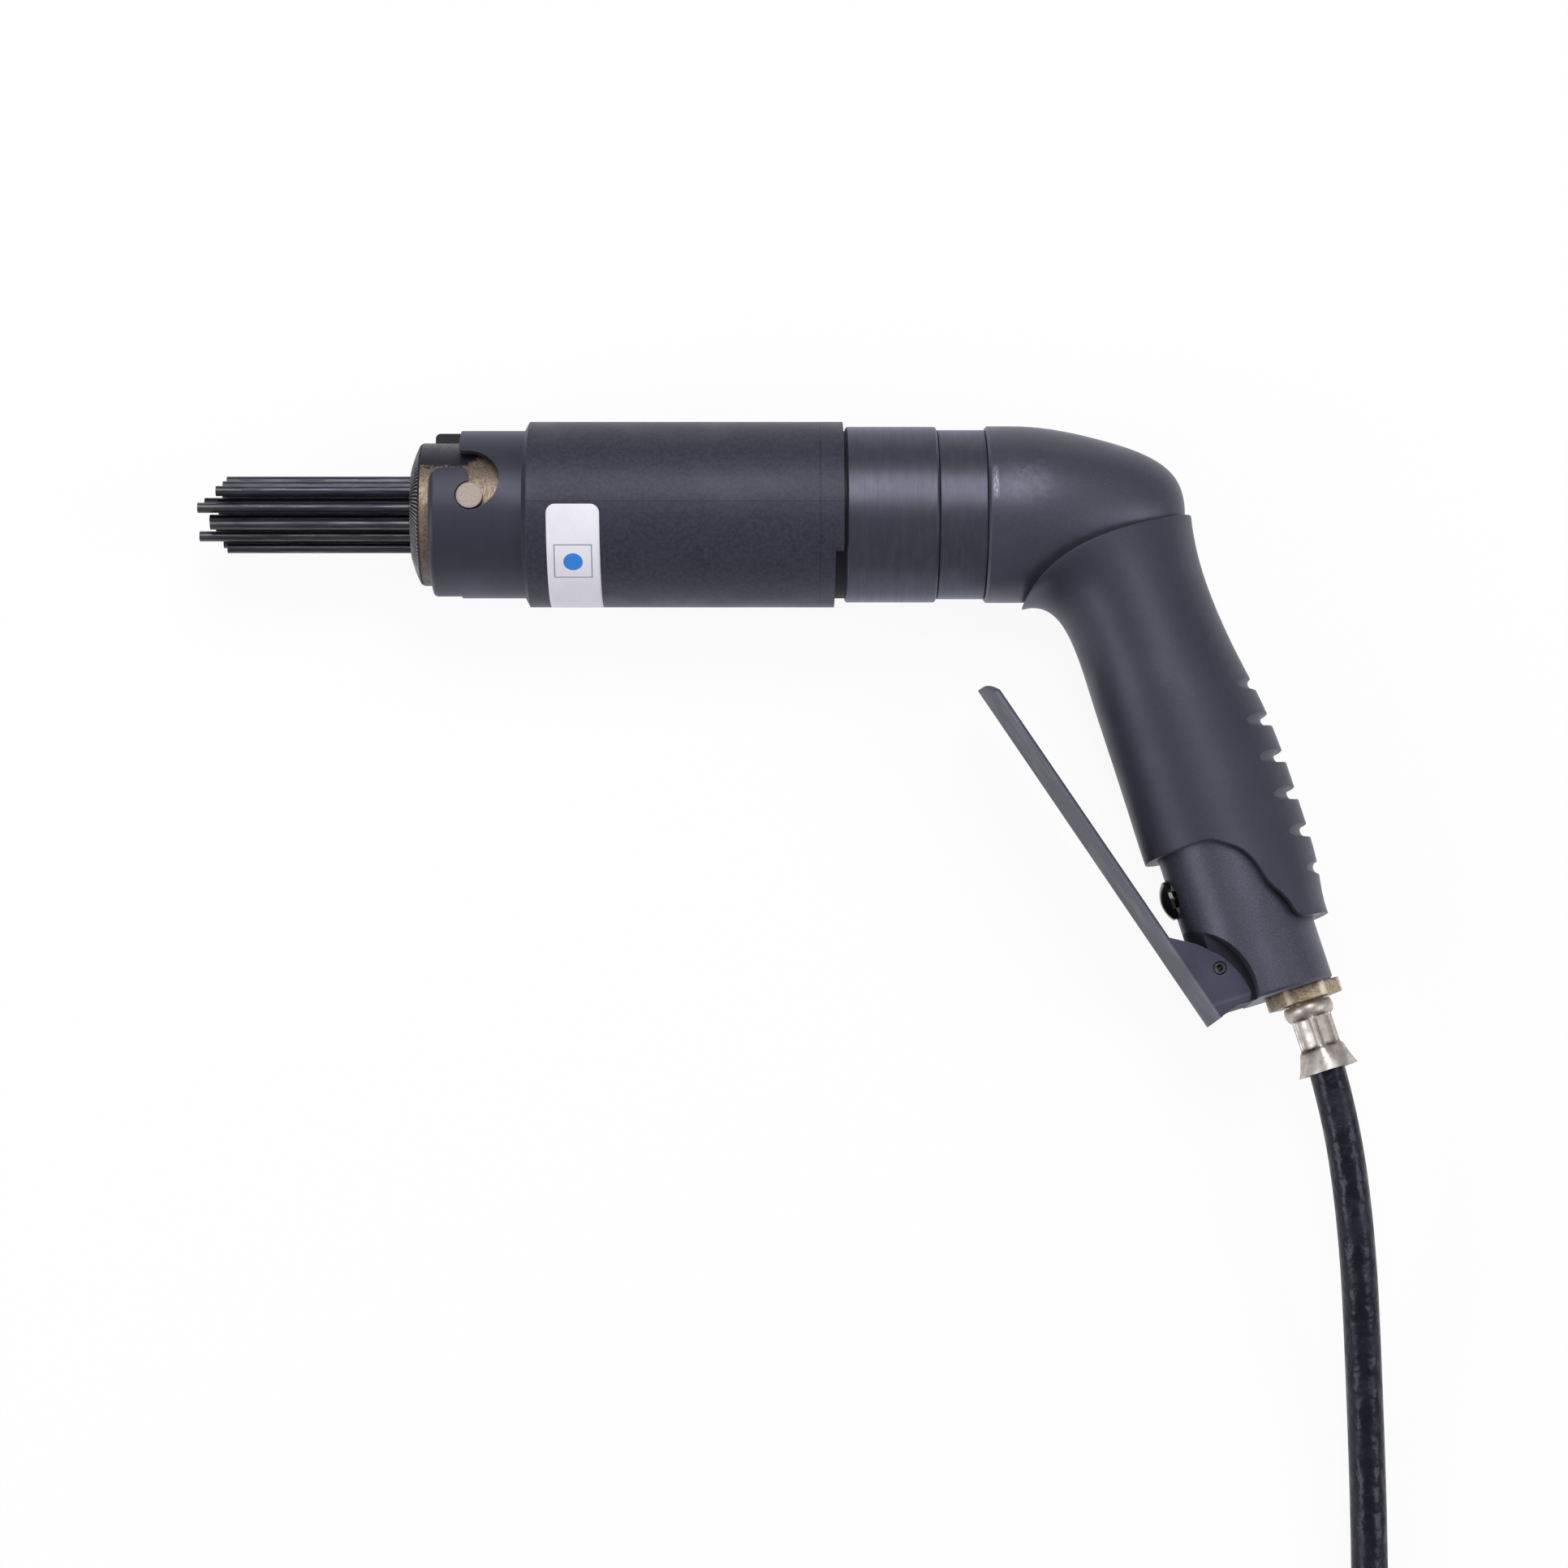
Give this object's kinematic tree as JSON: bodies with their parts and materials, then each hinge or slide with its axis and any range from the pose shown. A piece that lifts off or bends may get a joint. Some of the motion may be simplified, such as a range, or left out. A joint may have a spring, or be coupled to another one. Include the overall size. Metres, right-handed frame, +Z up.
{
  "type": "needle scaler",
  "caption": "Compressed-air needle scaler with a pistol grip, squeeze lever and hose; a bundle of steel needles strikes forward out of a bayonet nose.",
  "frame": {"origin": "under the middle of the tool without its hose, on the surface that it lies on", "axes": "+X from the needles to the handle, +Y from the grip's foot to the barrel, +Z up from the side that it lies on"},
  "size_m": [0.3602, 0.5355, 0.0543],
  "materials": {
    "needle_steel": "dark tempered wire, satin",
    "tool_steel": "turned and hardened",
    "guide_bronze": "worn, darkened bronze",
    "black_steel": "black oxide, satin",
    "spring_steel": "drawn wire",
    "bush_bronze": "bearing bronze",
    "sleeve_plastic": "moulded, fine grain",
    "ring_metal": "dark, finely turned",
    "seal_rubber": "smooth",
    "housing_alloy": "black, satin",
    "grip_rubber": "matte, fine grain",
    "lever_paint": "dark paint, satin",
    "button_plastic": "gloss",
    "fitting_brass": "aged",
    "ferrule_nickel": "bright, crimped",
    "hose_rubber": "smooth, half gloss",
    "tie_strap": "woven strap",
    "plug_steel": "plated"
  },
  "bodies": {
    "tool_body": {"nose_tube": "black_steel", "return_spring": "spring_steel", "anvil_bush": "bush_bronze", "cylinder": "tool_steel", "valve_seat": "tool_steel", "valve_cover": "tool_steel", "sleeve": "sleeve_plastic", "barrel_ring": "ring_metal", "lock_ring": "ring_metal", "joint_seal": "seal_rubber", "handle_housing": "housing_alloy", "grip_cover": "grip_rubber", "lever_pin": "black_steel", "lever_spring": "spring_steel", "valve_bush": "fitting_brass", "stem_seal": "seal_rubber", "poppet_spring": "spring_steel", "inlet_nipple": "fitting_brass", "hose_ferrule": "ferrule_nickel", "hose_lead": "hose_rubber", "hose_coil": "hose_rubber", "hose_tie": "tie_strap", "hose_end_ferrule": "ferrule_nickel", "hose_end_plug": "plug_steel"},
    "lever": {"lever": "lever_paint"},
    "throttle_button": {"throttle_button": "button_plastic"},
    "needle_set": {"needles": "needle_steel", "needle_holder": "tool_steel"},
    "anvil": {"anvil": "tool_steel"},
    "piston": {"piston": "tool_steel"},
    "valve_disc": {"valve_disc": "spring_steel"},
    "front_guide": {"front_guide": "guide_bronze", "bayonet_pins": "tool_steel"}
  },
  "joints": [
    {"name": "lever_pivot", "type": "hinge", "parent": "tool_body", "child": "lever", "pos_m": [0.13018, -0.07399, 0.02715], "axis": [0, 0, -1], "range_deg": [0, 12.5], "stiffness_Nm_per_rad": 0.6, "springref_deg": -8.59, "deforming": ["lever_spring"]},
    {"name": "button_press", "type": "slide", "parent": "tool_body", "child": "throttle_button", "axis": [0.9563, 0.2924, 0], "range_m": [0, 0.0012], "deforming": ["poppet_spring"]},
    {"name": "needle_strike", "type": "slide", "parent": "tool_body", "child": "needle_set", "axis": [-1, 0, 0], "range_m": [0, 0.007], "stiffness_N_per_m": 800, "springref_m": -0.004, "deforming": ["return_spring"]},
    {"name": "anvil_strike", "type": "slide", "parent": "tool_body", "child": "anvil", "axis": [-1, 0, 0], "range_m": [0, 0.007]},
    {"name": "piston_stroke", "type": "slide", "parent": "tool_body", "child": "piston", "axis": [1, 0, 0], "range_m": [0, 0.015]},
    {"name": "disc_flutter", "type": "slide", "parent": "tool_body", "child": "valve_disc", "axis": [1, 0, 0], "range_m": [0, 0.0008]},
    {"name": "guide_push", "type": "slide", "parent": "tool_body", "child": "front_guide", "axis": [1, 0, 0], "range_m": [0, 0.0012], "stiffness_N_per_m": 800, "springref_m": -0.004}
  ],
  "couplings": [
    {"joint": "button_press", "follows": "lever_pivot", "m_per_rad": 0.0055},
    {"joint": "anvil_strike", "follows": "needle_strike", "ratio": 1}
  ]
}
